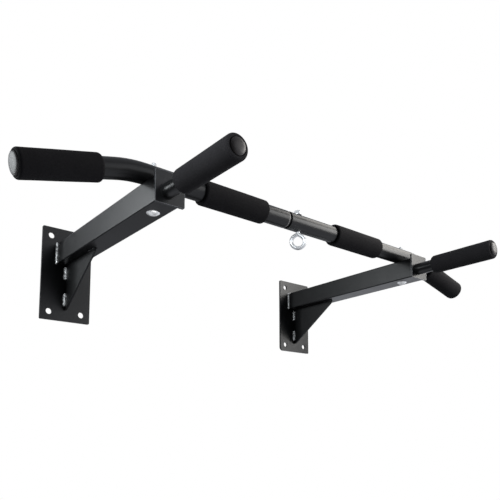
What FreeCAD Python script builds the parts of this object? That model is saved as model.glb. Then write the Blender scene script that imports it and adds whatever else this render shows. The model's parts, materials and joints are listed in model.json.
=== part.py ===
import FreeCAD, Part
import math
import os

V = FreeCAD.Vector

# Frame: the wall is the plane Y = 0 and the bar stands out towards -Y.
# X runs along the bar, Z is up, and the origin is midway between the two
# wall plates at half their height. All lengths are in millimetres.

# Wall plates
PLATE_WIDTH = 108.0
PLATE_HEIGHT = 200.0
PLATE_THICK = 5.0
PLATE_CORNER_R = 2.5
GROUND_CORNER_R = 10.0      # one lower corner of the right plate is ground round
PLATE_SPACING = 670.0
WALL_HOLE_D = 13.0
WALL_HOLE_PITCH_X = 70.0
WALL_HOLE_PITCH_Z = 164.0

# Arms, square tube
ARM_SIDE = 45.0
ARM_WALL = 2.5
ARM_CORNER_R = 2.5
ARM_BOTTOM_Z = 22.0
ARM_END_Y = -418.0

# Gussets under the arms
GUSSET_THICK = 4.0
GUSSET_REACH = 150.0
GUSSET_BOTTOM_Z = -76.0
GUSSET_TOE = 6.0

# Front plates, offset sideways and upwards from the arm's end
FRONT_PLATE_WIDTH = 55.0
FRONT_PLATE_HEIGHT = 55.0
FRONT_PLATE_THICK = 4.0
FRONT_PLATE_CORNER_R = 2.5

# Main bar: two bent tubes that meet over an inner sleeve
BAR_D = 35.0
BAR_WALL = 2.5
BAR_Y = -376.0
BAR_BEND_X = 380.0          # where the two straight axes would cross
BAR_BEND_ANGLE = 14.5       # the ends slope down by this many degrees
BAR_BEND_R = 220.0
BAR_END_LENGTH = 184.0      # from the crossing of the axes to the open end
SEAM_X = -37.0
SEAM_GAP = 4.4
SEAM_CHAMFER = 1.0
SLEEVE_LENGTH = 120.0
SLEEVE_CLEARANCE = 0.05

# Foam grips
BAR_GRIP_D = 45.5
OUTER_GRIP_START = 53.0     # from the crossing of the axes
OUTER_GRIP_LENGTH = 131.5
INNER_GRIP_START = 96.0     # from the middle of the bar
INNER_GRIP_LENGTH = 145.0
GRIP_END_R = 4.5
GRIP_CLEARANCE = 0.05

# Handles that point forwards from the arms
HANDLE_Z = 43.5
HANDLE_D = 26.0
HANDLE_WALL = 2.0
HANDLE_LENGTH = 182.0
HANDLE_GRIP_D = 40.0
HANDLE_GRIP_START = 44.0
HANDLE_GRIP_LENGTH = 140.0

# End caps
CAP_PLUG_LENGTH = 14.0
CAP_FLANGE = 2.0
CAP_DOME = 4.5

# Bolts from below the arms up through the bar
BOLT_D = 8.0
BOLT_HEAD_D = 23.0
BOLT_HEAD_H = 4.6
BOLT_NECK_H = 5.0
BOLT_NECK_CLEARANCE = 0.3
BOLT_HOLE_D = 9.0
BOLT_TIP = 6.4              # how far the thread stands out above the bar
BOLT_CHAMFER = 1.0
THREAD_CLEARANCE = 0.05

# Eye bolt hanging below the middle of the bar
EYE_X = -4.0
EYE_WIRE_D = 7.8
EYE_RING_R = 13.5           # to the middle of the wire
EYE_TURN = -39.0            # how far the ring is turned about Z, in degrees
EYE_APEX_DROP = 4.3         # wire centre at the ring's top, below the bar
EYE_APEX_TO_CENTRE = 16.0
EYE_HOLE_D = 9.0
EYE_TOP_Z = 112.0
EYE_PLAY = 0.3              # gap between the washer and the top of the bar
WASHER_D = 16.0
WASHER_H = 1.6
NUT_FLATS = 13.0
NUT_H = 6.5
NUT_CHAMFER = 0.8

# Weld beads
WELD_R = 3.0
STITCH_R = 4.5
STITCH_LENGTH = 28.0
STITCH_TOPS = (18.0, -40.0)     # the two stitches down each side of a gusset

ARM_TOP_Z = ARM_BOTTOM_Z + ARM_SIDE
BAR_Z = ARM_TOP_Z + BAR_D / 2
BAR_TOP_Z = BAR_Z + BAR_D / 2
BAR_BOTTOM_Z = BAR_Z - BAR_D / 2
ARM_ROOT_Y = -PLATE_THICK
FRONT_FACE_Y = ARM_END_Y - FRONT_PLATE_THICK
SIDES = {"left": -1, "right": 1}

os.makedirs("parts", exist_ok=True)


def save(shape, name):
    shape.exportStep("parts/" + name + ".step")


def cylinder(diameter, length, start, direction):
    return Part.makeCylinder(diameter / 2, length, start, direction)


def tube(outer_d, inner_d, length, start, direction):
    outer = cylinder(outer_d, length, start, direction)
    return outer.cut(cylinder(inner_d, length, start, direction))


def box(x0, x1, y0, y1, z0, z1):
    return Part.makeBox(x1 - x0, y1 - y0, z1 - z0, V(x0, y0, z0))


def round_edges_along(shape, axis, radius):
    """Rounds every straight edge that runs along the given axis."""
    edges = []
    for edge in shape.Edges:
        direction = edge.tangentAt(edge.FirstParameter)
        if abs(direction.dot(axis)) > 0.999:
            edges.append(edge)
    return shape.makeFillet(radius, edges)


def bend_point(side):
    return V(side * BAR_BEND_X, BAR_Y, BAR_Z)


def end_direction(side):
    """Unit vector along a sloping end of the bar, pointing outwards."""
    angle = math.radians(BAR_BEND_ANGLE)
    return V(side * math.cos(angle), 0, -math.sin(angle))


def wall_plate(side):
    centre = side * PLATE_SPACING / 2
    half = PLATE_WIDTH / 2
    plate = box(centre - half, centre + half, -PLATE_THICK, 0,
                -PLATE_HEIGHT / 2, PLATE_HEIGHT / 2)
    ground = []
    plain = []
    for edge in plate.Edges:
        middle = edge.CenterOfMass
        if abs(edge.tangentAt(edge.FirstParameter).y) < 0.999:
            continue
        if side > 0 and middle.x < centre and middle.z < 0:
            ground.append(edge)
        else:
            plain.append(edge)
    plate = plate.makeFillet(PLATE_CORNER_R, plain)
    if ground:
        corner = V(centre - half, 0, -PLATE_HEIGHT / 2)
        ground = [e for e in plate.Edges if near_line(e, corner)]
        plate = plate.makeFillet(GROUND_CORNER_R, ground)
    for x in (-WALL_HOLE_PITCH_X / 2, WALL_HOLE_PITCH_X / 2):
        for z in (-WALL_HOLE_PITCH_Z / 2, WALL_HOLE_PITCH_Z / 2):
            hole = cylinder(WALL_HOLE_D, PLATE_THICK, V(centre + x, 0, z), V(0, -1, 0))
            plate = plate.cut(hole)
    return plate


def near_line(edge, corner):
    """True for the edge that runs along Y through the corner."""
    middle = edge.CenterOfMass
    return abs(middle.x - corner.x) < 0.01 and abs(middle.z - corner.z) < 0.01


def arm(side):
    centre = side * PLATE_SPACING / 2
    half = ARM_SIDE / 2
    inner = half - ARM_WALL
    outside = box(centre - half, centre + half, ARM_END_Y, ARM_ROOT_Y,
                  ARM_BOTTOM_Z, ARM_TOP_Z)
    outside = round_edges_along(outside, V(0, 1, 0), ARM_CORNER_R)
    inside = box(centre - inner, centre + inner, ARM_END_Y, ARM_ROOT_Y,
                 ARM_BOTTOM_Z + ARM_WALL, ARM_TOP_Z - ARM_WALL)
    body = outside.cut(inside)
    neck = BOLT_D / 2 + BOLT_NECK_CLEARANCE
    square = box(centre - neck, centre + neck, BAR_Y - neck, BAR_Y + neck,
                 ARM_BOTTOM_Z, ARM_BOTTOM_Z + ARM_WALL)
    hole_start = V(centre, BAR_Y, ARM_TOP_Z - ARM_WALL)
    top_hole = cylinder(BOLT_HOLE_D, 2 * ARM_WALL, hole_start, V(0, 0, 1))
    return body.cut(square).cut(top_hole)


def gusset(side):
    x = side * PLATE_SPACING / 2 - GUSSET_THICK / 2
    outline = [
        V(x, ARM_ROOT_Y, ARM_BOTTOM_Z),
        V(x, -GUSSET_REACH, ARM_BOTTOM_Z),
        V(x, -GUSSET_REACH, ARM_BOTTOM_Z - GUSSET_TOE),
        V(x, ARM_ROOT_Y - GUSSET_TOE, GUSSET_BOTTOM_Z),
        V(x, ARM_ROOT_Y, GUSSET_BOTTOM_Z),
        V(x, ARM_ROOT_Y, ARM_BOTTOM_Z),
    ]
    return Part.Face(Part.makePolygon(outline)).extrude(V(GUSSET_THICK, 0, 0))


def front_plate(side):
    left = side * PLATE_SPACING / 2 - ARM_SIDE / 2
    plate = box(left, left + FRONT_PLATE_WIDTH, FRONT_FACE_Y, ARM_END_Y,
                ARM_BOTTOM_Z, ARM_BOTTOM_Z + FRONT_PLATE_HEIGHT)
    return round_edges_along(plate, V(0, 1, 0), FRONT_PLATE_CORNER_R)


def handle_tube(side):
    start = V(side * PLATE_SPACING / 2, FRONT_FACE_Y, HANDLE_Z)
    return tube(HANDLE_D, HANDLE_D - 2 * HANDLE_WALL, HANDLE_LENGTH, start, V(0, -1, 0))


def quarter_bead(radius, start, direction, length, first, second):
    """A bead in the corner between two faces whose outward normals are first and second."""
    disc = Part.makeCylinder(radius, length, start, direction)
    reach = radius * 1.5
    corners = [
        start,
        start + first * reach,
        start + first * reach + second * reach,
        start + second * reach,
        start,
    ]
    wedge = Part.Face(Part.makePolygon(corners)).extrude(direction * length)
    return disc.common(wedge)


def weld_beads(side):
    centre = side * PLATE_SPACING / 2
    half = ARM_SIDE / 2
    out = V(0, -1, 0)
    up = V(0, 0, 1)
    flat = ARM_SIDE - 2 * ARM_CORNER_R
    beads = []
    for way in (-1, 1):
        sideways = V(way, 0, 0)
        start = V(centre + way * half, ARM_ROOT_Y, ARM_BOTTOM_Z + ARM_CORNER_R)
        beads.append(quarter_bead(WELD_R, start, up, flat, sideways, out))
        face_x = centre + way * GUSSET_THICK / 2
        for top in STITCH_TOPS:
            start = V(face_x, ARM_ROOT_Y, top - STITCH_LENGTH)
            beads.append(quarter_bead(STITCH_R, start, up, STITCH_LENGTH, sideways, out))
        start = V(face_x, -GUSSET_REACH, ARM_BOTTOM_Z)
        beads.append(quarter_bead(WELD_R, start, V(0, 1, 0), STITCH_LENGTH, sideways, -up))
    start = V(centre - flat / 2, ARM_ROOT_Y, ARM_TOP_Z)
    beads.append(quarter_bead(WELD_R, start, V(1, 0, 0), flat, up, out))
    return Part.makeCompound(beads)


def bent_path(side, start_x, end_length):
    """The bar's axis from start_x out through the bend to the sloping end."""
    angle = math.radians(BAR_BEND_ANGLE)
    setback = BAR_BEND_R * math.tan(angle / 2)
    bend = bend_point(side)
    out = end_direction(side)
    first = bend - V(side, 0, 0) * setback
    last = bend + out * setback
    centre = first - V(0, 0, BAR_BEND_R)
    middle = centre + V(side * math.sin(angle / 2), 0, math.cos(angle / 2)) * BAR_BEND_R
    straight = Part.makeLine(V(start_x, BAR_Y, BAR_Z), first)
    arc = Part.Arc(first, middle, last).toShape()
    slope = Part.makeLine(last, bend + out * end_length)
    return Part.Wire([straight, arc, slope])


def bent_rod(side, start_x, end_length, diameter):
    start = V(start_x, BAR_Y, BAR_Z)
    circle = Part.Wire([Part.makeCircle(diameter / 2, start, V(side, 0, 0))])
    return bent_path(side, start_x, end_length).makePipeShell([circle], True, False)


def main_bar(side):
    start_x = SEAM_X + side * SEAM_GAP / 2
    outside = bent_rod(side, start_x, BAR_END_LENGTH, BAR_D)
    inside = bent_rod(side, start_x, BAR_END_LENGTH, BAR_D - 2 * BAR_WALL)
    bar = outside.cut(inside)
    bolt_x = side * PLATE_SPACING / 2
    bar = bar.cut(cylinder(BOLT_D, 2 * BAR_D, V(bolt_x, BAR_Y, BAR_Z - BAR_D), V(0, 0, 1)))
    if side > 0:
        bar = bar.cut(eye_hole())
    rim = [e for e in bar.Edges if at_seam_rim(e, start_x)]
    return bar.makeChamfer(SEAM_CHAMFER, rim)


def at_seam_rim(edge, start_x):
    """True for the outer circle of a tube's end at the seam."""
    if not isinstance(edge.Curve, Part.Circle):
        return False
    return abs(edge.Curve.Center.x - start_x) < 0.01 and edge.Curve.Radius > BAR_D / 2 - 0.01


def eye_hole():
    return cylinder(EYE_HOLE_D, 2 * BAR_D, V(EYE_X, BAR_Y, BAR_Z - BAR_D), V(0, 0, 1))


def joint_sleeve():
    outer_d = BAR_D - 2 * BAR_WALL - 2 * SLEEVE_CLEARANCE
    start = V(SEAM_X - SLEEVE_LENGTH / 2, BAR_Y, BAR_Z)
    sleeve = tube(outer_d, outer_d - 2 * BAR_WALL, SLEEVE_LENGTH, start, V(1, 0, 0))
    return sleeve.cut(eye_hole())


def grip(diameter, core_d, length, start, direction):
    """A foam sleeve with rounded outer rims."""
    foam = cylinder(diameter, length, start, direction)
    rims = [e for e in foam.Edges if e.Closed and isinstance(e.Curve, Part.Circle)]
    foam = foam.makeFillet(GRIP_END_R, rims)
    core = cylinder(core_d + 2 * GRIP_CLEARANCE, length, start, direction)
    return foam.cut(core)


def outer_grip(side):
    start = bend_point(side) + end_direction(side) * OUTER_GRIP_START
    return grip(BAR_GRIP_D, BAR_D, OUTER_GRIP_LENGTH, start, end_direction(side))


def inner_grip(side):
    start = V(side * INNER_GRIP_START, BAR_Y, BAR_Z)
    return grip(BAR_GRIP_D, BAR_D, INNER_GRIP_LENGTH, start, V(side, 0, 0))


def handle_grip(side):
    start = V(side * PLATE_SPACING / 2, FRONT_FACE_Y - HANDLE_GRIP_START, HANDLE_Z)
    return grip(HANDLE_GRIP_D, HANDLE_D, HANDLE_GRIP_LENGTH, start, V(0, -1, 0))


def end_cap(tube_d, wall, end, direction):
    """A push-in cap: a plug inside the tube, a flange on its end and a low dome."""
    inner_d = tube_d - 2 * wall - 2 * SLEEVE_CLEARANCE
    plug = cylinder(inner_d, CAP_PLUG_LENGTH, end - direction * CAP_PLUG_LENGTH, direction)
    flange = cylinder(tube_d, CAP_FLANGE, end, direction)
    rim_r = tube_d / 2
    ball_r = (rim_r ** 2 + CAP_DOME ** 2) / (2 * CAP_DOME)
    ball = Part.makeSphere(ball_r, end + direction * (CAP_FLANGE + CAP_DOME - ball_r))
    column = cylinder(tube_d, CAP_DOME, end + direction * CAP_FLANGE, direction)
    return plug.fuse(flange).fuse(ball.common(column)).removeSplitter()


def bar_cap(side):
    end = bend_point(side) + end_direction(side) * BAR_END_LENGTH
    return end_cap(BAR_D, BAR_WALL, end, end_direction(side))


def handle_cap(side):
    end = V(side * PLATE_SPACING / 2, FRONT_FACE_Y - HANDLE_LENGTH, HANDLE_Z)
    return end_cap(HANDLE_D, HANDLE_WALL, end, V(0, -1, 0))


def chamfered_rod(diameter, length, start):
    """An upright rod whose top edge is chamfered."""
    rod = cylinder(diameter, length, start, V(0, 0, 1))
    top = [e for e in rod.Edges if e.Closed and abs(e.CenterOfMass.z - start.z - length) < 0.01]
    return rod.makeChamfer(BOLT_CHAMFER, top)


def arm_bolt(side):
    x = side * PLATE_SPACING / 2
    rim_r = BOLT_HEAD_D / 2
    ball_r = (rim_r ** 2 + BOLT_HEAD_H ** 2) / (2 * BOLT_HEAD_H)
    head_bottom = V(x, BAR_Y, ARM_BOTTOM_Z - BOLT_HEAD_H)
    ball = Part.makeSphere(ball_r, head_bottom + V(0, 0, ball_r))
    head = ball.common(cylinder(BOLT_HEAD_D, BOLT_HEAD_H, head_bottom, V(0, 0, 1)))
    half = BOLT_D / 2
    neck = box(x - half, x + half, BAR_Y - half, BAR_Y + half,
               ARM_BOTTOM_Z, ARM_BOTTOM_Z + BOLT_NECK_H)
    length = BAR_TOP_Z + BOLT_TIP - ARM_BOTTOM_Z
    shank = chamfered_rod(BOLT_D - 2 * THREAD_CLEARANCE, length, V(x, BAR_Y, ARM_BOTTOM_Z))
    return head.fuse(neck).fuse(shank).removeSplitter()


def eye_bolt():
    """A formed-wire eye: a teardrop ring that closes under the bar, and a straight shank."""
    apex_z = BAR_BOTTOM_Z - EYE_APEX_DROP
    centre_z = apex_z - EYE_APEX_TO_CENTRE
    wire_r = EYE_WIRE_D / 2
    lean = math.acos(EYE_RING_R / EYE_APEX_TO_CENTRE)
    axis = V(0, 0, 1)
    shank = chamfered_rod(EYE_WIRE_D, EYE_TOP_Z - apex_z, V(EYE_X, BAR_Y, apex_z))
    wire = shank.fuse(Part.makeSphere(wire_r, V(EYE_X, BAR_Y, apex_z)))
    apex = V(EYE_X, BAR_Y, apex_z)
    for way in (-1, 1):
        touch = V(EYE_X + way * EYE_RING_R * math.sin(lean), BAR_Y,
                  centre_z + EYE_RING_R * math.cos(lean))
        wire = wire.fuse(cylinder(EYE_WIRE_D, (touch - apex).Length, apex, touch - apex))
    sweep = 360 - 2 * math.degrees(lean)
    ring = Part.makeTorus(EYE_RING_R, wire_r, V(0, 0, 0), axis, 0, 360, sweep)
    ring.rotate(V(0, 0, 0), axis, 90 + math.degrees(lean))
    ring.rotate(V(0, 0, 0), V(1, 0, 0), 90)
    ring.translate(V(EYE_X, BAR_Y, centre_z))
    wire = wire.fuse(ring).removeSplitter()
    wire.rotate(apex, axis, EYE_TURN)
    return wire


def eye_washer():
    bottom = BAR_TOP_Z + EYE_PLAY
    hole_d = EYE_WIRE_D + 2 * THREAD_CLEARANCE
    return tube(WASHER_D, hole_d, WASHER_H, V(EYE_X, BAR_Y, bottom), V(0, 0, 1))


def eye_nut():
    """A hexagon nut with its upper corners turned off."""
    bottom = BAR_TOP_Z + EYE_PLAY + WASHER_H
    corner_r = NUT_FLATS / math.sqrt(3)
    points = []
    for i in range(7):
        angle = math.radians(60 * i + EYE_TURN)
        across = V(math.cos(angle), math.sin(angle), 0) * corner_r
        points.append(V(EYE_X, BAR_Y, bottom) + across)
    prism = Part.Face(Part.makePolygon(points)).extrude(V(0, 0, NUT_H))
    turned = cylinder(2 * corner_r, NUT_H, V(EYE_X, BAR_Y, bottom), V(0, 0, 1))
    top = [e for e in turned.Edges if e.Closed and abs(e.CenterOfMass.z - bottom - NUT_H) < 0.01]
    turned = turned.makeChamfer(NUT_CHAMFER, top)
    hole_d = EYE_WIRE_D + 2 * THREAD_CLEARANCE
    hole = cylinder(hole_d, NUT_H, V(EYE_X, BAR_Y, bottom), V(0, 0, 1))
    return prism.common(turned).cut(hole)


SIDED_PARTS = {
    "wall_plate": wall_plate,
    "arm": arm,
    "gusset": gusset,
    "weld_beads": weld_beads,
    "front_plate": front_plate,
    "handle_tube": handle_tube,
    "handle_grip": handle_grip,
    "handle_cap": handle_cap,
    "bar_tube": main_bar,
    "inner_grip": inner_grip,
    "outer_grip": outer_grip,
    "bar_cap": bar_cap,
    "arm_bolt": arm_bolt,
}

for name, make in SIDED_PARTS.items():
    for side_name, side in SIDES.items():
        save(make(side), side_name + "_" + name)

save(joint_sleeve(), "joint_sleeve")
save(eye_bolt(), "eye_bolt")
save(eye_washer(), "eye_washer")
save(eye_nut(), "eye_nut")
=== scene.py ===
import json
import math

import bmesh
import bpy
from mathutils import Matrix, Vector, noise

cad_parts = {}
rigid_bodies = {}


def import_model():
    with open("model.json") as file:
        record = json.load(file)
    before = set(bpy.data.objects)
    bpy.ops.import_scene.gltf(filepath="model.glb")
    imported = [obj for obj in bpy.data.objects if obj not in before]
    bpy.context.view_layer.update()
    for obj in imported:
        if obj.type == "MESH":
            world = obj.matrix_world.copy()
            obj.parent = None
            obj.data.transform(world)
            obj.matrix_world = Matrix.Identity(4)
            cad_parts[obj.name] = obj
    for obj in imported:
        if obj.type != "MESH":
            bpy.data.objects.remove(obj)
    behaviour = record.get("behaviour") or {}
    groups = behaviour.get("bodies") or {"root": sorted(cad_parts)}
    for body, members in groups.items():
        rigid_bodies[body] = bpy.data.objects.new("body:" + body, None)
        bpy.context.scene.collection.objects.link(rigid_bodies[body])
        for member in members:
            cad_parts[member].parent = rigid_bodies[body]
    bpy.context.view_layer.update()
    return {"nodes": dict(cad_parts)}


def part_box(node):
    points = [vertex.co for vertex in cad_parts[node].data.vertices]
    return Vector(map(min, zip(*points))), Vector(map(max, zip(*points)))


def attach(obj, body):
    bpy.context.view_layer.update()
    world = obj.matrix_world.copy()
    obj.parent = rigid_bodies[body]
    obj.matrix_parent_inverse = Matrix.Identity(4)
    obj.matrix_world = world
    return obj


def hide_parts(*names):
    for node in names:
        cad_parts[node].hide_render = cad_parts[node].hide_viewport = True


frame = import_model()
nodes = frame["nodes"]

# Lengths are in metres, in the frame of the CAD model: the wall is the plane
# Y = 0, the bar runs along X and Z is up.
MM = 0.001
SIDES = {"left": -1, "right": 1}
UP = Vector((0, 0, 1))
OUT = Vector((0, -1, 0))     # away from the wall

# Camera
CAMERA_PLACE = Vector((-0.79068, -1.19624, -0.35524))
CAMERA_YAW = 0.6792          # from +Y towards +X, in radians
CAMERA_TILT = 0.1153         # upwards
CAMERA_LENS = 41.786
CAMERA_SENSOR = 36.0
CAMERA_SHIFT_Y = 0.25
CAMERA_CLIP = (0.05, 100.0)

# Bar and handles
BAR_R = 17.5 * MM
HANDLE_R = 13.0 * MM
ARM_CORNER_R = 2.5 * MM
BAR_BEND_ANGLE = math.radians(14.5)
BAR_BEND_X = 380.0 * MM      # where the straight and sloping axes cross
BAR_END_LENGTH = 184.0 * MM  # from that crossing to the open end
OUTER_GRIP_START = 53.0 * MM
OUTER_GRIP_LENGTH = 131.5 * MM
BAR_GRIP_R = 22.75 * MM
HANDLE_GRIP_R = 20.0 * MM
GRIP_BORE_GAP = 0.05 * MM

# Foam sleeves
FOAM_ROLL_SHARE = 0.72       # of the wall, outside the crest of the lip
FOAM_ROLL_AXIAL = 5.0 * MM
FOAM_ROLL_STEPS = 14
FOAM_LIP_DEPTH = 2.6 * MM
FOAM_LIP_STEPS = 8
FOAM_BORE_STEPS = 6
FOAM_SEGMENTS = 128
FOAM_STEPS = 90
FOAM_WAVE = 0.22 * MM        # long waves of the skin: height, rate, turn and sink
FOAM_WAVE_RATE = 22.0
FOAM_WAVE_TURN = 1.1
FOAM_WAVE_SINK = 0.45
FOAM_RUFFLE = 0.05 * MM      # short waves of the skin, likewise
FOAM_RUFFLE_RATE = 160.0
FOAM_RUFFLE_TURN = 5
FOAM_RUFFLE_SINK = 0.6
FIRST_GRIP_SEED = 3.0
GRIP_SEED_STEP = 7.0
HANDLE_GRIP_SEED = 40
OUTER_GRIP_SEED = 80

# Caps
BAR_CAP_BORE_R = 14.95 * MM
HANDLE_CAP_BORE_R = 10.95 * MM
CAP_PLUG = 14.0 * MM
CAP_PLUG_CHAMFER = 0.8 * MM
CAP_PLUG_TAPER = 0.6 * MM
CAP_FLANGE = 2.0 * MM
BAR_CAP_DOME = 3.0 * MM
HANDLE_CAP_DOME = 4.4 * MM
CAP_SEGMENTS = 96
CAP_RIM_SOFT = 0.35 * MM
CAP_RIM_STEPS = 4
CAP_DOME_STEPS = 36
CAP_DOME_POWER = 2.9         # above 2 the dome is flatter, with a fuller shoulder
CAP_SHOULDER_POWER = 0.55
CAP_LAST_ANGLE = math.radians(89)

# Welds
WELD_R = 3.8 * MM
STITCH_R = 5.2 * MM
TIP_WELD_R = 3.2 * MM
BEAD_OVERRUN = 1.2 * MM      # how far a root bead runs past the arm's corners
STITCH_TOPS = (18.0 * MM, -40.0 * MM)
STITCH_LENGTH = 28.0 * MM
WELD_STEP = 0.35 * MM
WELD_SINK = 0.3 * MM         # how far a bead's foot goes into the metal
WELD_ARC_STEPS = 12
WELD_SEED_STEP = 1.7
RIPPLE_PITCH = 3.4 * MM
RIPPLE_DRIFT = 0.25          # of a pitch
RIPPLE_DRIFT_RATE = 90.0
BEAD_SIZE = 0.72             # of its radius, and what ripples and wander add
BEAD_RIPPLE = 0.16
BEAD_WANDER = 0.14
BEAD_WANDER_RATE = 160.0
BEAD_END = 0.25              # how small it ends, and how soon it is full size
BEAD_TAPER = 0.8
BEAD_LUMP = 0.10
BEAD_LUMP_RATE = 330.0
BEAD_LUMP_TURN = 0.45

# Arm bolts
BOLT_R = 3.95 * MM
BOLT_PITCH = 1.25 * MM
BOLT_TURN_STEPS = 8
BOLT_SEGMENTS = 48
BOLT_SHANK_RELIEF = 0.1 * MM
BOLT_THREAD_DEPTH = 0.62 * MM
BOLT_THREAD_LENGTH = 14.0 * MM
BOLT_THREAD_SLOPE = 1.25     # a flat crest and root, with steep flanks between
BOLT_THREAD_FLAT = 0.12
BOLT_TIP_CHAMFER = 1.0 * MM
BOLT_HEAD_H = 4.6 * MM
BOLT_HEAD_R = 11.5 * MM
BOLT_HEAD_STEPS = 24
BOLT_HEAD_SEGMENTS = 96
BOLT_RIM = (0.25 * MM, 0.2 * MM)
BOLT_NECK_SIDE = 8.0 * MM
BOLT_NECK_H = 5.0 * MM
BOLT_CREASE = math.radians(38)

# Softened edges of sheet and tube
PLATE_EDGE = 0.5 * MM
FRONT_PLATE_EDGE = 0.8 * MM
GUSSET_EDGE = 0.4 * MM
BAR_EDGE = 0.5 * MM
WASHER_EDGE = 0.2 * MM
NUT_EDGE = 0.15 * MM
EDGE_SEGMENTS = 3
EDGE_CREASE = math.radians(40)
JOIN_DISTANCE = 0.002 * MM
NORMAL_WEIGHT = 80

# Colours are a brightness and a tint. Noise scales are in cells per metre.
NOISE_RANGE = (0.3, 0.7)     # where most of a noise field lies
PLAIN = (1.0, 1.0, 1.0)

# Powder coat
COAT_TINT = (0.97, 1.0, 1.06)
COAT_DARK = (0.0115, COAT_TINT)
COAT_LIGHT = (0.0155, COAT_TINT)
COAT_FLECK = (0.024, COAT_TINT)
COAT_FLECKS = (0.35, 0.75, 0.0, 0.35)
COAT_MOTTLE_SCALE = 22.0
COAT_SPECK_SCALE = 1400.0
COAT_PEEL_SCALE = 420.0
COAT_PEEL_SOFTNESS = 0.45
COAT_PEEL_BUMP = (0.012 * MM, 0.5)
COAT_SPECK_BUMP = (0.006 * MM, 0.5)
COAT_ROUGHNESS = (0.29, 0.34)
COAT_ROUGHNESS_DRIFT = 0.02
COAT_IOR = 1.5
# Lightened edges: partly rubbed wear, partly a painted edge highlight; on the front plates a painted
# edge highlight.
WEAR_AND_HIGHLIGHT_PATCHES = (0.35, 0.75)
EDGE_WEAR_AND_HIGHLIGHT = 0.10
EDGE_REACH = 1.0 * MM
FRONT_PLATE_EDGE_HIGHLIGHT = 0.80
FRONT_PLATE_REACH = 1.3 * MM
EDGE_SAMPLES = 4
EDGE_TURN = (0.995, 0.90)    # cosine of the normal's turn, on a flat face and on an edge
RIM_HIGHLIGHT_WIDTH = 2.4 * MM          # painted highlight at the seam end of the left tube, where its rim catches the light
RIM_HIGHLIGHT_COLOUR = (0.42, (1.0, 0.97, 0.93))
RIM_HIGHLIGHT_RAGGED = 0.5 * MM
RIM_HIGHLIGHT_FADE = 0.4 * MM

# Weld metal
WELD_BURNT = (0.10, (1.0, 0.99, 0.97))
WELD_BRIGHT = (0.80, (0.98, 0.99, 1.0))
WELD_PATCH_SCALE = 340.0
WELD_PATCHES = (0.38, 0.62, 0.0, 1.0)
WELD_GRAIN_SCALE = 1500.0
WELD_METALLIC = 0.45
WELD_ROUGHNESS = (0.48, 0.28)
WELD_PATCH_BUMP = (0.25 * MM, 0.5)
WELD_GRAIN_BUMP = (0.05 * MM, 0.5)

# Zinc plate
ZINC_DULL = (0.88, (0.98, 0.99, 1.0))
ZINC_BRIGHT = (0.96, (0.99, 1.0, 1.02))
ZINC_CLOUD_SCALE = 180.0
ZINC_GRAIN_SCALE = 2200.0
ZINC_GRAIN_STRETCH = (1.0, 1.0, 0.15)
ZINC_METALLIC = 0.5
ZINC_ROUGHNESS = (0.22, 0.38)
ZINC_GRAIN_BUMP = (0.01 * MM, 0.5)
ZINC_CLOUD_BUMP = (0.05 * MM, 0.3)

# Foam skin
FOAM_PORE = (0.008, (1.0, 0.95, 1.06))
FOAM_SKIN = (0.016, (1.0, 0.95, 1.06))
FOAM_FADED = (0.021, (1.0, 0.95, 1.05))
FOAM_PORES = (0.1, 0.6, 0.0, 1.0)
FOAM_FADING = (0.4, 0.7, 0.0, 0.4)
FOAM_PORE_SCALE = 900.0
FOAM_FLUFF_SCALE = 420.0
FOAM_FLUFF_SOFTNESS = 0.65
FOAM_DRIFT_SCALE = 30.0
FOAM_ROUGHNESS = (0.82, 0.96)
FOAM_SPECULAR = 0.22
FOAM_FLUFF_BUMP = (0.25 * MM, 0.55)
FOAM_PORE_BUMP = (0.22 * MM, 0.7)

# Cap plastic
CAP_DARK = (0.046, (1.14, 1.0, 0.97))
CAP_LIGHT = (0.060, (1.14, 1.0, 0.96))
CAP_FLECK = (0.10, PLAIN)
CAP_FLECKS = (0.45, 0.75, 0.0, 0.5)
CAP_FLOW_SCALE = 260.0
CAP_GRAIN_SCALE = 1100.0
CAP_ROUGHNESS = (0.36, 0.46)
CAP_IOR = 1.52
CAP_GRAIN_BUMP = (0.08 * MM, 0.6)

# Floor
FLOOR_HALF = 7.0
FLOOR_CELLS = 24
FLOOR_Z = -2.0
FLOOR_DARK = (0.90, PLAIN)
FLOOR_LIGHT = (0.94, PLAIN)
FLOOR_CLOUD_SCALE = 1.5
FLOOR_ROUGHNESS = (0.75, 0.9)

# Softboxes: place, what each is aimed at, width, height, radiance and colour.
COOL = (0.93, 0.975, 1.0)
NEUTRAL = (1.0, 1.0, 0.99)
WARM = (1.0, 0.965, 0.91)
LAMPS = {
    "left": ((-1.55, 0.15, 0.25), (-0.45, -0.25, 0.05), 0.4, 0.7, 3.0, COOL),
    "back_left": ((-1.38, 0.50, 0.32), (-0.35, -0.35, 0.05), 0.95, 0.75, 3.0, COOL),
    "right_front": ((1.05, -1.38, 0.46), (0.0, -0.40, 0.05), 0.90, 0.95, 3.2, NEUTRAL),
    "right_close": ((0.82, -0.90, 0.26), (0.33, -0.42, 0.05), 0.34, 0.50, 3.2, WARM),
    "right_high": ((1.05, -0.58, 0.84), (0.15, -0.38, 0.09), 0.70, 0.80, 3.4, WARM),
    "left_end": ((-1.38, 0.50, 0.32), (-0.45, -0.30, 0.05), 0.95, 0.75, 1.5, COOL),
    "left_front": ((-1.12, -0.78, 0.44), (-0.36, -0.42, 0.05), 0.7, 0.7, 4.0, COOL),
    "fill": ((-1.25, -1.05, 0.15), (-0.1, -0.4, 0.05), 1.0, 1.2, 2.4, COOL),
    "below": ((-0.2, -0.9, -1.1), (0.0, -0.4, 0.05), 1.2, 0.8, 3.0, NEUTRAL),
    "floor_light": ((0.0, 0.0, 4.0), (0.0, 0.0, 0.0), 12.0, 12.0, 0.95, NEUTRAL),
}

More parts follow.
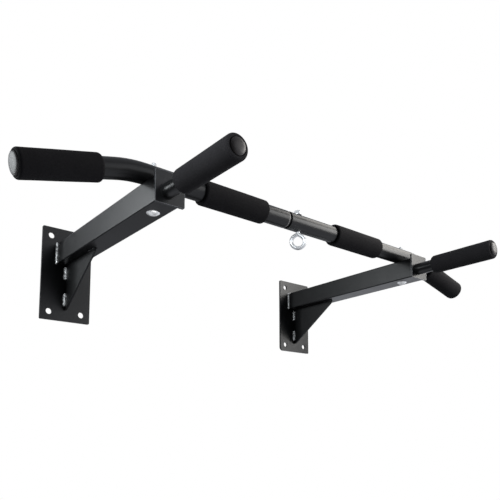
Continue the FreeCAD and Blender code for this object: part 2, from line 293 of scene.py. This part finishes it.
# Bright parts of the room: bearing from +Y towards +X in degrees (low, high),
# height of the direction (low, high), softness, and brightness.
ROOM_COLOUR = (0.94, 0.965, 1.04, 1.0)
WHITE = (1.0, 1.0, 1.0, 1.0)
ROOM_LEVEL = 0.05
PANEL_SOFT_UPRIGHT = 0.6
ROOM_PANELS = {
    "overhead": (-400.0, 400.0, 0.70, 2.0, 0.15, 0.28),
    "front": (140.0, 176.0, -0.10, 0.62, 0.09, 0.55),
    "low_front": (70.0, 180.0, -0.95, -0.14, 0.10, 0.50),
    "low_right": (40.0, 105.0, -0.50, 0.10, 0.12, 0.70),
    "low_back": (5.0, 40.0, -0.6, -0.1, 0.12, 0.18),
    "under": (-40.0, 28.0, -0.95, -0.55, 0.08, 0.5),
    "back_right": (38.0, 75.0, 0.15, 0.62, 0.08, 0.8),
    "back": (-10.0, 16.0, 0.0, 0.62, 0.08, 0.8),
}


# ---------------------------------------------------------------- node helpers

def new_material(name):
    material = bpy.data.materials.new(name)
    material.use_nodes = True
    tree = material.node_tree
    tree.nodes.clear()
    output = tree.nodes.new("ShaderNodeOutputMaterial")
    shader = tree.nodes.new("ShaderNodeBsdfPrincipled")
    tree.links.new(shader.outputs["BSDF"], output.inputs["Surface"])
    return material, tree, shader


def set_input(node, name, value):
    """Sets a socket to a number or colour, or links it to another socket."""
    socket = node.inputs[name]
    if isinstance(value, bpy.types.NodeSocket):
        node.id_data.links.new(value, socket)
    else:
        socket.default_value = value


def object_coords(tree):
    return tree.nodes.new("ShaderNodeTexCoord").outputs["Object"]


def stretched(tree, coords, stretch):
    mapping = tree.nodes.new("ShaderNodeMapping")
    set_input(mapping, "Vector", coords)
    set_input(mapping, "Scale", stretch)
    return mapping.outputs["Vector"]


def noise_field(tree, coords, scale, detail=3.0, roughness=0.55):
    node = tree.nodes.new("ShaderNodeTexNoise")
    set_input(node, "Vector", coords)
    set_input(node, "Scale", scale)
    set_input(node, "Detail", detail)
    set_input(node, "Roughness", roughness)
    return node.outputs["Fac"]


def cell_field(tree, coords, scale):
    node = tree.nodes.new("ShaderNodeTexVoronoi")
    set_input(node, "Vector", coords)
    set_input(node, "Scale", scale)
    return node.outputs["Distance"]


def remap(tree, value, low, high, to_low, to_high):
    node = tree.nodes.new("ShaderNodeMapRange")
    set_input(node, "Value", value)
    for name, number in zip(("From Min", "From Max", "To Min", "To Max"),
                            (low, high, to_low, to_high)):
        set_input(node, name, number)
    return node.outputs["Result"]


def spread(tree, field, to_low, to_high):
    """Stretches most of a noise field over a range."""
    return remap(tree, field, *NOISE_RANGE, to_low, to_high)


def maths(tree, operation, first, second=0.0):
    node = tree.nodes.new("ShaderNodeMath")
    node.operation = operation
    set_input(node, 0, first)
    set_input(node, 1, second)
    return node.outputs["Value"]


def shade(colour):
    """The colour value of a brightness and a tint."""
    brightness, tint = colour
    return (brightness * tint[0], brightness * tint[1], brightness * tint[2], 1.0)


def blend_colour(tree, factor, first, second):
    node = tree.nodes.new("ShaderNodeMix")
    node.data_type = "RGBA"
    set_input(node, "Factor", factor)
    set_input(node, "A", first)
    set_input(node, "B", second)
    return node.outputs["Result"]


def bumps(tree, layers):
    """Stacks bump maps; each layer is (height socket, (height in metres, strength))."""
    normal = None
    for height, (distance, strength) in layers:
        bump = tree.nodes.new("ShaderNodeBump")
        set_input(bump, "Height", height)
        set_input(bump, "Distance", distance)
        set_input(bump, "Strength", strength)
        if normal is not None:
            set_input(bump, "Normal", normal)
        normal = bump.outputs["Normal"]
    return normal


def edge_mask(tree, radius):
    """Near 1 on edges and corners, 0 on flat faces, from how a rounded normal turns."""
    bevel = tree.nodes.new("ShaderNodeBevel")
    bevel.samples = EDGE_SAMPLES
    set_input(bevel, "Radius", radius)
    geometry = tree.nodes.new("ShaderNodeNewGeometry")
    dot = tree.nodes.new("ShaderNodeVectorMath")
    dot.operation = "DOT_PRODUCT"
    set_input(dot, 0, bevel.outputs["Normal"])
    set_input(dot, 1, geometry.outputs["Normal"])
    return remap(tree, dot.outputs["Value"], *EDGE_TURN, 0.0, 1.0)


# ------------------------------------------------------------------- materials

def powder_coat(name, wear_and_highlight, reach, rim_highlight_x=None):
    """Satin black powder coat on steel: orange peel, faint mottling, lightened edges.

    The edge lightening is partly rubbed wear and partly a painted edge highlight: wear_and_highlight
    is how light the edges are and reach how far they spread. Beyond rim_highlight_x, where it is set,
    the end of a tube carries a painted highlight.
    """
    material, tree, shader = new_material(name)
    coords = object_coords(tree)
    mottle = noise_field(tree, coords, COAT_MOTTLE_SCALE, 4.0)
    speck = noise_field(tree, coords, COAT_SPECK_SCALE, 2.0)
    peel = noise_field(tree, coords, COAT_PEEL_SCALE, 2.0, COAT_PEEL_SOFTNESS)
    base = blend_colour(tree, mottle, shade(COAT_DARK), shade(COAT_LIGHT))
    base = blend_colour(tree, remap(tree, speck, *COAT_FLECKS), base, shade(COAT_FLECK))
    # Painted edge highlight, partly rubbed wear: edges and corners lightened towards
    # wear_and_highlight.
    worn_and_lit_edges = maths(tree, "MULTIPLY", edge_mask(tree, reach), spread(tree, mottle, *WEAR_AND_HIGHLIGHT_PATCHES))
    base = blend_colour(tree, worn_and_lit_edges, base, shade((wear_and_highlight, COAT_TINT)))
    # Past the given x, a painted rim highlight lightens the tube end.
    if rim_highlight_x is not None:
        base = paint_rim_highlight_beyond(tree, coords, speck, rim_highlight_x, base)
    set_input(shader, "Base Color", base)
    drift = spread(tree, mottle, -COAT_ROUGHNESS_DRIFT, COAT_ROUGHNESS_DRIFT)
    set_input(shader, "Roughness", maths(tree, "ADD", spread(tree, peel, *COAT_ROUGHNESS), drift))
    set_input(shader, "IOR", COAT_IOR)
    set_input(shader, "Normal", bumps(tree, [(peel, COAT_PEEL_BUMP), (speck, COAT_SPECK_BUMP)]))
    return material


def paint_rim_highlight_beyond(tree, coords, speck, start_x, base):
    """Painted highlight past start_x, where the tube's rim catches the light, with a ragged edge to
    the coat.
    """
    split = tree.nodes.new("ShaderNodeSeparateXYZ")
    set_input(split, "Vector", coords)
    ragged = spread(tree, speck, -RIM_HIGHLIGHT_RAGGED, RIM_HIGHLIGHT_RAGGED)
    along = maths(tree, "ADD", split.outputs["X"], ragged)
    rim = remap(tree, along, start_x - RIM_HIGHLIGHT_FADE, start_x + RIM_HIGHLIGHT_FADE, 0.0, 1.0)
    return blend_colour(tree, rim, base, shade(RIM_HIGHLIGHT_COLOUR))


def weld_metal():
    """Bare mild-steel bead: bright, with heat-darkened patches between the ripples."""
    material, tree, shader = new_material("weld_metal")
    coords = object_coords(tree)
    patch = noise_field(tree, coords, WELD_PATCH_SCALE, 4.0)
    grain = noise_field(tree, coords, WELD_GRAIN_SCALE)
    patches = remap(tree, patch, *WELD_PATCHES)
    set_input(shader, "Base Color", blend_colour(tree, patches, shade(WELD_BURNT), shade(WELD_BRIGHT)))
    set_input(shader, "Metallic", WELD_METALLIC)
    set_input(shader, "Roughness", spread(tree, patch, *WELD_ROUGHNESS))
    set_input(shader, "Normal", bumps(tree, [(patch, WELD_PATCH_BUMP), (grain, WELD_GRAIN_BUMP)]))
    return material


def zinc():
    """Bright zinc plating with faint drawing marks and dulled patches."""
    material, tree, shader = new_material("zinc")
    coords = object_coords(tree)
    cloud = noise_field(tree, coords, ZINC_CLOUD_SCALE, 4.0)
    drawn = stretched(tree, coords, ZINC_GRAIN_STRETCH)
    grain = noise_field(tree, drawn, ZINC_GRAIN_SCALE, 2.0)
    set_input(shader, "Base Color", blend_colour(tree, cloud, shade(ZINC_DULL), shade(ZINC_BRIGHT)))
    set_input(shader, "Metallic", ZINC_METALLIC)
    set_input(shader, "Roughness", spread(tree, cloud, *ZINC_ROUGHNESS))
    set_input(shader, "Normal", bumps(tree, [(grain, ZINC_GRAIN_BUMP), (cloud, ZINC_CLOUD_BUMP)]))
    return material


def foam():
    """Closed-cell black foam: matt, with fine pores and slight flecks."""
    material, tree, shader = new_material("foam")
    coords = object_coords(tree)
    pores = cell_field(tree, coords, FOAM_PORE_SCALE)
    fluff = noise_field(tree, coords, FOAM_FLUFF_SCALE, 5.0, FOAM_FLUFF_SOFTNESS)
    drift = noise_field(tree, coords, FOAM_DRIFT_SCALE)
    base = blend_colour(tree, remap(tree, pores, *FOAM_PORES), shade(FOAM_PORE), shade(FOAM_SKIN))
    base = blend_colour(tree, remap(tree, drift, *FOAM_FADING), base, shade(FOAM_FADED))
    set_input(shader, "Base Color", base)
    set_input(shader, "Roughness", spread(tree, fluff, *FOAM_ROUGHNESS))
    set_input(shader, "Specular IOR Level", FOAM_SPECULAR)
    set_input(shader, "Normal", bumps(tree, [(fluff, FOAM_FLUFF_BUMP), (pores, FOAM_PORE_BUMP)]))
    return material


def cap_plastic():
    """Moulded dark plastic: satin, spark-eroded fine grain, slightly brown."""
    material, tree, shader = new_material("cap_plastic")
    coords = object_coords(tree)
    flow = noise_field(tree, coords, CAP_FLOW_SCALE)
    grain = noise_field(tree, coords, CAP_GRAIN_SCALE)
    base = blend_colour(tree, flow, shade(CAP_DARK), shade(CAP_LIGHT))
    base = blend_colour(tree, remap(tree, grain, *CAP_FLECKS), base, shade(CAP_FLECK))
    set_input(shader, "Base Color", base)
    set_input(shader, "Roughness", spread(tree, grain, *CAP_ROUGHNESS))
    set_input(shader, "IOR", CAP_IOR)
    set_input(shader, "Normal", bumps(tree, [(grain, CAP_GRAIN_BUMP)]))
    return material


def floor_paint():
    material, tree, shader = new_material("floor_paint")
    cloud = noise_field(tree, object_coords(tree), FLOOR_CLOUD_SCALE, 4.0)
    set_input(shader, "Base Color", blend_colour(tree, cloud, shade(FLOOR_DARK), shade(FLOOR_LIGHT)))
    set_input(shader, "Roughness", spread(tree, cloud, *FLOOR_ROUGHNESS))
    return material


# ----------------------------------------------------------------- mesh helpers

def finish_piece(name, mesh_data, material, cad_node):
    """Makes the object, shades it smooth, attaches it to its body and hides the CAD node it replaces.
    """
    mesh = bpy.data.meshes.new(name)
    mesh_data.normal_update()
    bmesh.ops.recalc_face_normals(mesh_data, faces=mesh_data.faces)
    mesh_data.to_mesh(mesh)
    mesh_data.free()
    for polygon in mesh.polygons:
        polygon.use_smooth = True
    piece = bpy.data.objects.new(name, mesh)
    bpy.context.scene.collection.objects.link(piece)
    mesh.materials.append(material)
    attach(piece, "bar_frame")
    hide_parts(cad_node)
    return piece


def axes_from(direction):
    """Two unit vectors square to the direction and to each other."""
    helper = UP if abs(direction.z) < 0.9 else Vector((0, 1, 0))
    first = direction.cross(helper).normalized()
    return first, direction.cross(first).normalized()


def ring_points(start, direction, along, radius_at, segments):
    first, second = axes_from(direction)
    points = []
    for i in range(segments):
        angle = 2 * math.pi * i / segments
        spoke = first * math.cos(angle) + second * math.sin(angle)
        points.append(start + direction * along + spoke * radius_at(angle))
    return points


def skin_rings(mesh, rings, closed_ends=False, closed_loop=False):
    """Joins rings of vertices with quads."""
    made = [[mesh.verts.new(p) for p in ring] for ring in rings]
    pairs = list(zip(made, made[1:]))
    if closed_loop:
        pairs.append((made[-1], made[0]))
    for near, far in pairs:
        count = len(near)
        for i in range(count):
            j = (i + 1) % count
            mesh.faces.new((near[i], near[j], far[j], far[i]))
    if closed_ends:
        mesh.faces.new(made[0])
        mesh.faces.new(list(reversed(made[-1])))


def lathe(mesh, start, direction, profile, segments):
    """Turns a profile of (distance along, radius) round the axis, with its ends closed."""
    rings = []
    for along, radius in profile:
        rings.append(ring_points(start, direction, along, lambda angle, r=radius: r, segments))
    skin_rings(mesh, rings, closed_ends=True)


def arc_profile(centre_along, centre_r, half_along, half_r, from_deg, to_deg, steps):
    """Points of an elliptical arc in the (along, radius) plane."""
    points = []
    for i in range(steps + 1):
        angle = math.radians(from_deg + (to_deg - from_deg) * i / steps)
        points.append((centre_along + half_along * math.cos(angle),
                       centre_r + half_r * math.sin(angle)))
    return points


# ------------------------------------------------------------------ foam grips

def foam_end(bore_r, outer_r):
    """The rolled lip at one end, from the bore out to the skin, as (along, radius) points."""
    roll = FOAM_ROLL_SHARE * (outer_r - bore_r)
    lip_r = outer_r - roll
    lip = arc_profile(FOAM_LIP_DEPTH, lip_r, FOAM_LIP_DEPTH, lip_r - bore_r,
                      270, 180, FOAM_LIP_STEPS)
    return lip + arc_profile(FOAM_ROLL_AXIAL, lip_r, FOAM_ROLL_AXIAL, roll,
                             180, 90, FOAM_ROLL_STEPS)[1:]


def foam_profile(length, bore_r, outer_r):
    """Rolled end, body, rolled end and bore, as (along, radius) points."""
    start = foam_end(bore_r, outer_r)
    end = [(length - along, radius) for along, radius in reversed(start)]
    body = []
    first, last = start[-1][0], end[0][0]
    for i in range(1, FOAM_STEPS):
        body.append((first + (last - first) * i / FOAM_STEPS, outer_r))
    bore = []
    first, last = end[-1][0], start[0][0]
    for i in range(1, FOAM_BORE_STEPS):
        bore.append((first + (last - first) * i / FOAM_BORE_STEPS, bore_r))
    return start + body + end + bore


def foam_swell(along, angle, across, seed):
    """How far the skin stands out at a place; across is the angle's cosine and sine."""
    wave = noise.noise(Vector((along * FOAM_WAVE_RATE + seed, across[0] * FOAM_WAVE_TURN,
                               across[1] * FOAM_WAVE_TURN)))
    ruffle = noise.noise(Vector((along * FOAM_RUFFLE_RATE + seed, math.cos(angle) * FOAM_RUFFLE_TURN,
                                 math.sin(angle) * FOAM_RUFFLE_TURN)))
    return FOAM_WAVE * (wave - FOAM_WAVE_SINK) + FOAM_RUFFLE * (ruffle - FOAM_RUFFLE_SINK)


def foam_grip(name, start, direction, length, core_r, outer_r, seed):
    """A foam sleeve whose skin waves slightly, as cut and stretched foam does."""
    mesh = bmesh.new()
    bore_r = core_r + GRIP_BORE_GAP
    first, second = axes_from(direction)
    rings = []
    for along, radius in foam_profile(length, bore_r, outer_r):
        share = max(0.0, (radius - bore_r) / (outer_r - bore_r))
        ring = []
        for i in range(FOAM_SEGMENTS):
            angle = 2 * math.pi * i / FOAM_SEGMENTS
            spoke = first * math.cos(angle) + second * math.sin(angle)
            across = (spoke.dot(first), spoke.dot(second))
            r = radius + share * foam_swell(along, angle, across, seed)
            ring.append(start + direction * along + spoke * r)
        rings.append(ring)
    skin_rings(mesh, rings, closed_loop=True)
    piece = finish_piece(name + "_foam", mesh, FOAM, name)


def end_direction(side):
    """Unit vector along a sloping end of the bar, pointing outwards."""
    return Vector((side * math.cos(BAR_BEND_ANGLE), 0, -math.sin(BAR_BEND_ANGLE)))


def on_sloping_end(side_name, distance):
    """The point on the bar's axis this far beyond the crossing of its two axes."""
    low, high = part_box(side_name + "_inner_grip")
    side = SIDES[side_name]
    crossing = Vector((side * BAR_BEND_X, (low.y + high.y) / 2, (low.z + high.z) / 2))
    return crossing + end_direction(side) * distance


def make_grips():
    seed = FIRST_GRIP_SEED
    for side_name, side in SIDES.items():
        name = side_name + "_inner_grip"
        low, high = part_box(name)
        middle = (low + high) / 2
        start = Vector((low.x if side > 0 else high.x, middle.y, middle.z))
        foam_grip(name, start, Vector((side, 0, 0)), high.x - low.x, BAR_R, BAR_GRIP_R, seed)

        name = side_name + "_handle_grip"
        low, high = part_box(name)
        middle = (low + high) / 2
        start = Vector((middle.x, high.y, middle.z))
        foam_grip(name, start, OUT, high.y - low.y, HANDLE_R, HANDLE_GRIP_R,
                  seed + HANDLE_GRIP_SEED)

        name = side_name + "_outer_grip"
        start = on_sloping_end(side_name, OUTER_GRIP_START)
        foam_grip(name, start, end_direction(side), OUTER_GRIP_LENGTH, BAR_R, BAR_GRIP_R,
                  seed + OUTER_GRIP_SEED)
        seed += GRIP_SEED_STEP


# ------------------------------------------------------------------------ caps

def cap_profile(bore_r, rim_r, dome):
    """Plug, short straight rim, round shoulder and a nearly flat face."""
    profile = [(-CAP_PLUG, bore_r - CAP_PLUG_TAPER), (-CAP_PLUG + CAP_PLUG_CHAMFER, bore_r),
               (0.0, bore_r), (0.0, rim_r - CAP_RIM_SOFT)]
    profile += arc_profile(CAP_RIM_SOFT, rim_r - CAP_RIM_SOFT, CAP_RIM_SOFT, CAP_RIM_SOFT,
                           180, 90, CAP_RIM_STEPS)
    for i in range(CAP_DOME_STEPS + 1):
        r = rim_r * math.cos(CAP_LAST_ANGLE * i / CAP_DOME_STEPS)
        height = dome * (1 - (r / rim_r) ** CAP_DOME_POWER) ** CAP_SHOULDER_POWER
        profile.append((CAP_FLANGE + height, r))
    return profile


def make_cap(name, start, direction, bore_r, rim_r, dome):
    mesh = bmesh.new()
    lathe(mesh, start, direction, cap_profile(bore_r, rim_r, dome), CAP_SEGMENTS)
    finish_piece(name + "_moulding", mesh, CAP, name)


def make_caps():
    for side_name, side in SIDES.items():
        end = on_sloping_end(side_name, BAR_END_LENGTH)
        make_cap(side_name + "_bar_cap", end, end_direction(side), BAR_CAP_BORE_R, BAR_R,
                 BAR_CAP_DOME)

        low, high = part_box(side_name + "_handle_tube")
        end = Vector(((low.x + high.x) / 2, low.y, (low.z + high.z) / 2))
        make_cap(side_name + "_handle_cap", end, OUT, HANDLE_CAP_BORE_R, HANDLE_R,
                 HANDLE_CAP_DOME)


# ----------------------------------------------------------------------- welds

def bead_radius(along, length, radius, seed):
    """The bead's size: scalloped ripples, a little wander, and rounded ends."""
    drift = RIPPLE_DRIFT * noise.noise(Vector((along * RIPPLE_DRIFT_RATE, seed, 0.0)))
    phase = along / RIPPLE_PITCH + drift
    ripple = 1 - (phase - math.floor(phase)) ** 2
    wander = noise.noise(Vector((along * BEAD_WANDER_RATE, seed, 4.0)))
    from_end = min(1.0, min(along, length - along) / (BEAD_TAPER * radius))
    taper = math.sqrt(max(0.0, 1 - (1 - from_end) ** 2))
    size = BEAD_SIZE + BEAD_RIPPLE * ripple + BEAD_WANDER * wander
    return radius * size * (BEAD_END + (1 - BEAD_END) * taper)


def add_bead(mesh, start, direction, length, first, second, radius, seed):
    """A convex fillet in the corner between two faces with outward normals first and second."""
    steps = max(4, round(length / WELD_STEP))
    rings = []
    for i in range(steps + 1):
        along = length * i / steps
        base = start + direction * along
        size = bead_radius(along, length, radius, seed)
        ring = [base - (first + second) * WELD_SINK]
        for k in range(WELD_ARC_STEPS + 1):
            angle = math.radians(90) * k / WELD_ARC_STEPS
            lump = noise.noise(Vector((along * BEAD_LUMP_RATE, k * BEAD_LUMP_TURN, seed)))
            r = size * (1 + BEAD_LUMP * lump)
            sink = WELD_SINK if k in (0, WELD_ARC_STEPS) else 0.0
            point = base + (first * math.cos(angle) + second * math.sin(angle)) * r
            point -= (second if k == 0 else first) * sink
            ring.append(point)
        rings.append(ring)
    skin_rings(mesh, rings, closed_ends=True)


def make_welds(side_name):
    """Beads round the arm's root, stitches down the gusset, and coated ones at its tip."""
    mesh = bmesh.new()
    arm_low, arm_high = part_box(side_name + "_arm")
    gusset_low, gusset_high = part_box(side_name + "_gusset")
    plate_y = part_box(side_name + "_wall_plate")[0].y
    seed = 10.0 * SIDES[side_name]
    coated = []
    for way in (-1, 1):
        sideways = Vector((way, 0, 0))
        arm_x = arm_low.x if way < 0 else arm_high.x
        start = Vector((arm_x, plate_y, arm_low.z - BEAD_OVERRUN))
        tall = arm_high.z - arm_low.z + 2 * BEAD_OVERRUN
        add_bead(mesh, start, UP, tall, sideways, OUT, WELD_R, seed)
        gusset_x = gusset_low.x if way < 0 else gusset_high.x
        for top in STITCH_TOPS:
            seed += WELD_SEED_STEP
            start = Vector((gusset_x, plate_y, top - STITCH_LENGTH))
            add_bead(mesh, start, UP, STITCH_LENGTH, sideways, OUT, STITCH_R, seed)
        seed += WELD_SEED_STEP
        start = Vector((gusset_x, gusset_low.y, arm_low.z))
        first_face = len(mesh.faces)
        add_bead(mesh, start, -OUT, STITCH_LENGTH, sideways, -UP, TIP_WELD_R, seed)
        coated += range(first_face, len(mesh.faces))
    start = Vector((arm_low.x + ARM_CORNER_R, plate_y, arm_high.z))
    wide = arm_high.x - arm_low.x - 2 * ARM_CORNER_R
    add_bead(mesh, start, Vector((1, 0, 0)), wide, UP, OUT, WELD_R, seed + WELD_SEED_STEP)
    piece = finish_piece(side_name + "_welds", mesh, WELD, side_name + "_weld_beads")
    piece.data.materials.append(COAT)
    for index in coated:
        piece.data.polygons[index].material_index = 1


# ------------------------------------------------------------------- arm bolts

def thread_radius(along, angle, top):
    """Radius of a right-hand thread that fades out at its chamfered tip."""
    turn = along / BOLT_PITCH - angle / (2 * math.pi)
    saw = abs((turn - math.floor(turn)) * 2 - 1)
    depth = BOLT_THREAD_DEPTH * min(1.0, max(0.0, BOLT_THREAD_SLOPE * saw - BOLT_THREAD_FLAT))
    tip = max(0.0, along - (top - BOLT_TIP_CHAMFER))
    return min(BOLT_R - depth, BOLT_R - tip)


def bolt_head_profile():
    """A low dome with a broken rim, then the flat underside in to the shank."""
    ball_r = (BOLT_HEAD_R ** 2 + BOLT_HEAD_H ** 2) / (2 * BOLT_HEAD_H)
    head = []
    for i in range(1, BOLT_HEAD_STEPS + 1):
        angle = math.asin(BOLT_HEAD_R / ball_r) * i / BOLT_HEAD_STEPS
        head.append((ball_r * (1 - math.cos(angle)), ball_r * math.sin(angle)))
    rim_along, rim_r = head[-1]
    head[-1] = (rim_along - BOLT_RIM[0], rim_r)
    head.append((rim_along, rim_r - BOLT_RIM[1]))
    head.append((rim_along, BOLT_R))
    return head


def make_arm_bolt(side_name):
    """Domed head under the arm, square neck, plain shank and threaded tip."""
    name = side_name + "_arm_bolt"
    low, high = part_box(name)
    bottom = Vector(((low.x + high.x) / 2, (low.y + high.y) / 2, low.z))
    mesh = bmesh.new()
    head = bolt_head_profile()
    lathe(mesh, bottom, UP, head, BOLT_HEAD_SEGMENTS)
    head_top = head[-1][0]

    neck = bmesh.ops.create_cube(mesh, size=1.0)["verts"]
    bmesh.ops.scale(mesh, vec=(BOLT_NECK_SIDE, BOLT_NECK_SIDE, BOLT_NECK_H), verts=neck)
    bmesh.ops.translate(mesh, vec=bottom + UP * (head_top + BOLT_NECK_H / 2), verts=neck)

    top = high.z - low.z
    smooth_top = top - BOLT_THREAD_LENGTH
    rings = []
    for along in (head_top, smooth_top):
        rings.append(ring_points(bottom, UP, along, lambda angle: BOLT_R - BOLT_SHANK_RELIEF,
                                 BOLT_SEGMENTS))
    steps = round(BOLT_THREAD_LENGTH / (BOLT_PITCH / BOLT_TURN_STEPS))
    for i in range(1, steps + 1):
        along = smooth_top + BOLT_THREAD_LENGTH * i / steps
        rings.append(ring_points(bottom, UP, along,
                                 lambda angle, z=along: thread_radius(z, angle, top),
                                 BOLT_SEGMENTS))
    skin_rings(mesh, rings, closed_ends=True)
    piece = finish_piece(name + "_detail", mesh, ZINC, name)
    add_modifier(piece, "EDGE_SPLIT", "crisp_edges", split_angle=BOLT_CREASE)


# ------------------------------------------------------------ carried-over nodes

def add_modifier(piece, kind, name, **settings):
    modifier = piece.modifiers.new(name, kind)
    for key, value in settings.items():
        setattr(modifier, key, value)


def dress_node(name, material, edge=0.0):
    """Gives a CAD node its material and, where edge is set, slightly rounded edges."""
    piece = nodes[name]
    if piece.material_slots:
        for material_slot in piece.material_slots:
            material_slot.material = material
    else:
        piece.data.materials.append(material)
    if edge:
        add_modifier(piece, "WELD", "join_faces", merge_threshold=JOIN_DISTANCE)
        add_modifier(piece, "BEVEL", "soft_edges", width=edge, segments=EDGE_SEGMENTS,
                     limit_method="ANGLE", angle_limit=EDGE_CREASE, use_clamp_overlap=True)
        add_modifier(piece, "WEIGHTED_NORMAL", "even_shading", weight=NORMAL_WEIGHT,
                     mode="FACE_AREA")


def dress_nodes():
    for side_name in SIDES:
        dress_node(side_name + "_wall_plate", COAT, PLATE_EDGE)
        dress_node(side_name + "_front_plate", FRONT_COAT_LIT_EDGES, FRONT_PLATE_EDGE)
        dress_node(side_name + "_gusset", COAT, GUSSET_EDGE)
        dress_node(side_name + "_arm", COAT)
        dress_node(side_name + "_handle_tube", COAT)
    dress_node("left_bar_tube", RIM_HIGHLIGHT_COAT, BAR_EDGE)
    dress_node("right_bar_tube", COAT, BAR_EDGE)
    dress_node("joint_sleeve", COAT)
    dress_node("eye_bolt", ZINC)
    dress_node("eye_washer", ZINC, WASHER_EDGE)
    dress_node("eye_nut", ZINC, NUT_EDGE)


# ----------------------------------------------------------- floor, light, camera

def add_floor():
    mesh = bmesh.new()
    bmesh.ops.create_grid(mesh, x_segments=FLOOR_CELLS, y_segments=FLOOR_CELLS, size=FLOOR_HALF)
    data = bpy.data.meshes.new("floor")
    mesh.to_mesh(data)
    mesh.free()
    floor = bpy.data.objects.new("floor", data)
    floor.location = (0, 0, FLOOR_Z)
    bpy.context.scene.collection.objects.link(floor)
    data.materials.append(floor_paint())
    floor.visible_glossy = False
    floor.visible_diffuse = False


def area_light(name, place, target, width, height, radiance, colour):
    """A softbox whose glow is the given radiance, whatever its size."""
    data = bpy.data.lights.new(name, "AREA")
    data.color = colour
    data.shape = "RECTANGLE"
    data.size = width
    data.size_y = height
    data.energy = radiance * width * height * math.pi
    lamp = bpy.data.objects.new(name, data)
    lamp.location = place
    aim = Vector(target) - Vector(place)
    lamp.rotation_mode = "QUATERNION"
    lamp.rotation_quaternion = aim.to_track_quat("-Z", "Y")
    lamp.visible_camera = False
    bpy.context.scene.collection.objects.link(lamp)
    return lamp


def pieces_with(material, *words):
    """Shown pieces of one material whose names hold any of the words."""
    found = []
    for piece in bpy.data.objects:
        if piece.type != "MESH" or piece.hide_render or not piece.material_slots:
            continue
        if piece.material_slots[0].material == material and any(w in piece.name for w in words):
            found.append(piece)
    return found


def light_only(lamp, pieces):
    """Limits a lamp to some pieces."""
    group = bpy.data.collections.new(lamp.name + "_receivers")
    for piece in pieces:
        group.objects.link(piece)
    lamp.light_linking.receiver_collection = group


def add_lights():
    lamps = {name: area_light(name, *settings) for name, settings in LAMPS.items()}
    left_steel = pieces_with(COAT, "left_")
    left_tip = pieces_with(CAP, "left_bar") + pieces_with(FOAM, "left_outer")
    handle_steel = pieces_with(FRONT_COAT_LIT_EDGES, "front_plate") + pieces_with(COAT, "handle_tube")
    handle_foam = pieces_with(FOAM, "handle")
    bare_metal = pieces_with(ZINC, "bolt", "eye") + pieces_with(WELD, "welds")
    light_only(lamps["left_end"], left_tip + left_steel)
    light_only(lamps["left_front"], handle_steel + handle_foam + bare_metal)
    light_only(lamps["fill"], handle_foam + bare_metal)
    light_only(lamps["below"], pieces_with(ZINC, "arm_bolt"))
    light_only(lamps["floor_light"], [bpy.data.objects["floor"]])


def smooth_window(tree, value, low, high, soft):
    """1 between low and high, falling to 0 over the soft width on each side."""
    rise = remap(tree, value, low - soft, low + soft, 0.0, 1.0)
    fall = remap(tree, value, high - soft, high + soft, 1.0, 0.0)
    return maths(tree, "MULTIPLY", rise, fall)


def background(tree, colour, strength):
    node = tree.nodes.new("ShaderNodeBackground")
    set_input(node, "Color", colour)
    set_input(node, "Strength", strength)
    return node.outputs["Background"]


def add_world():
    """White behind the object; for light and reflections, a dim room with bright parts."""
    world = bpy.data.worlds.new("studio")
    bpy.context.scene.world = world
    world.use_nodes = True
    tree = world.node_tree
    tree.nodes.clear()
    output = tree.nodes.new("ShaderNodeOutputWorld")
    direction = tree.nodes.new("ShaderNodeTexCoord").outputs["Generated"]
    split = tree.nodes.new("ShaderNodeSeparateXYZ")
    set_input(split, "Vector", direction)
    bearing = maths(tree, "ARCTAN2", split.outputs["X"], split.outputs["Y"])

    level = ROOM_LEVEL
    for az_low, az_high, z_low, z_high, soft, strength in ROOM_PANELS.values():
        across = smooth_window(tree, bearing, math.radians(az_low), math.radians(az_high), soft)
        upright = smooth_window(tree, split.outputs["Z"], z_low, z_high, soft * PANEL_SOFT_UPRIGHT)
        panel = maths(tree, "MULTIPLY", maths(tree, "MULTIPLY", across, upright), strength)
        level = maths(tree, "ADD", level, panel)
    path = tree.nodes.new("ShaderNodeLightPath")
    mix = tree.nodes.new("ShaderNodeMixShader")
    set_input(mix, "Fac", path.outputs["Is Camera Ray"])
    set_input(mix, 1, background(tree, ROOM_COLOUR, level))
    set_input(mix, 2, background(tree, WHITE, 1.0))
    tree.links.new(mix.outputs["Shader"], output.inputs["Surface"])


def add_camera():
    data = bpy.data.cameras.new("camera")
    data.lens = CAMERA_LENS
    data.sensor_width = CAMERA_SENSOR
    data.shift_y = CAMERA_SHIFT_Y
    data.clip_start, data.clip_end = CAMERA_CLIP
    camera = bpy.data.objects.new("camera", data)
    camera.location = CAMERA_PLACE
    camera.rotation_euler = (math.pi / 2 + CAMERA_TILT, 0.0, -CAMERA_YAW)
    bpy.context.scene.collection.objects.link(camera)
    bpy.context.scene.camera = camera


COAT = powder_coat("powder_coat", EDGE_WEAR_AND_HIGHLIGHT, EDGE_REACH)
# Front plates: much lighter, wider edges, a painted edge highlight.
FRONT_COAT_LIT_EDGES = powder_coat("powder_coat_front_lit_edges", FRONT_PLATE_EDGE_HIGHLIGHT, FRONT_PLATE_REACH)
# Left bar tube: a painted highlight at its seam rim.
RIM_HIGHLIGHT_COAT = powder_coat("powder_coat_rim_highlight", EDGE_WEAR_AND_HIGHLIGHT, EDGE_REACH,
                       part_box("left_bar_tube")[1].x - RIM_HIGHLIGHT_WIDTH)
WELD = weld_metal()
ZINC = zinc()
FOAM = foam()
CAP = cap_plastic()

add_camera()
dress_nodes()
make_grips()
make_caps()
for side_name in SIDES:
    make_welds(side_name)
for side_name in SIDES:
    make_arm_bolt(side_name)
add_floor()
add_lights()
add_world()
bpy.context.scene.view_settings.view_transform = "Standard"
